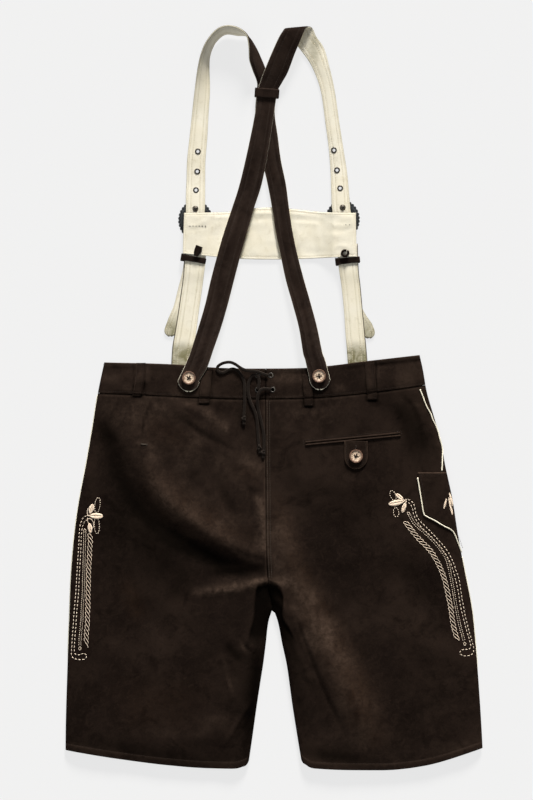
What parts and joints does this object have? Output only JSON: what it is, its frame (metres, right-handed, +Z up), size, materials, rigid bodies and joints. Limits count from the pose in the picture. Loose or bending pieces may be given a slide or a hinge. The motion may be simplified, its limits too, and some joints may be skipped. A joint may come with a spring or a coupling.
{
  "type": "lederhosen with braces",
  "caption": "Knee-length suede lederhosen, back up and laid flat, with crossed braces, chest crossbar, laced waistband, button pocket and knife pocket.",
  "frame": {"origin": "middle of the garment's outline on the surface it lies on", "axes": "+X to the right seen from above, +Y from the hems to the shoulders, +Z up"},
  "size_m": [0.6683, 1.1904, 0.0344],
  "materials": {
    "suede": "dark brown napped suede, mottled",
    "cream_leather": "smooth cream lining leather",
    "horn": "brown horn, pale in the middle",
    "old_brass": "blackened brass",
    "piping": "light beige leather cord",
    "lace": "brown suede lace"
  },
  "bodies": {
    "root": {"back_left": "suede", "back_right": "suede", "front_left": "suede", "front_right": "suede", "front_flap": "suede", "waistband_left": "suede", "waistband_right": "suede", "waistband_front": "suede", "belt_loop_1": "suede", "belt_loop_2": "suede", "belt_loop_3": "suede", "belt_loop_4": "suede", "pocket_welt_upper": "suede", "pocket_welt_lower": "suede", "pocket_tab": "suede", "knife_pocket": "suede", "strap_a_face": "suede", "strap_b_face": "suede", "lower_strap_left_face": "suede", "lower_strap_right_face": "suede", "crossbar_face": "suede", "rosette_left": "suede", "rosette_right": "suede", "keeper_loop": "suede", "tie_left": "suede", "tie_right": "suede", "tie_knot_left": "suede", "tie_knot_right": "suede", "strap_a_lining": "cream_leather", "strap_b_lining": "cream_leather", "lower_strap_left_lining": "cream_leather", "lower_strap_right_lining": "cream_leather", "crossbar_lining": "cream_leather", "strap_button_left": "horn", "strap_button_right": "horn", "pocket_button": "horn", "strap_a_eyelet_1": "old_brass", "strap_a_eyelet_2": "old_brass", "strap_a_eyelet_3": "old_brass", "strap_a_eyelet_4": "old_brass", "strap_b_eyelet_1": "old_brass", "strap_b_eyelet_2": "old_brass", "strap_b_eyelet_3": "old_brass", "strap_b_eyelet_4": "old_brass", "waist_eyelet_upper_left": "old_brass", "waist_eyelet_upper_right": "old_brass", "waist_eyelet_lower_left": "old_brass", "waist_eyelet_lower_right": "old_brass", "stud_left": "old_brass", "stud_right": "old_brass", "piping_left": "piping", "piping_right": "piping", "piping_hip": "piping", "piping_pocket": "piping", "lace_upper": "lace", "lace_lower": "lace", "lace_right": "lace"}
  },
  "joints": []
}
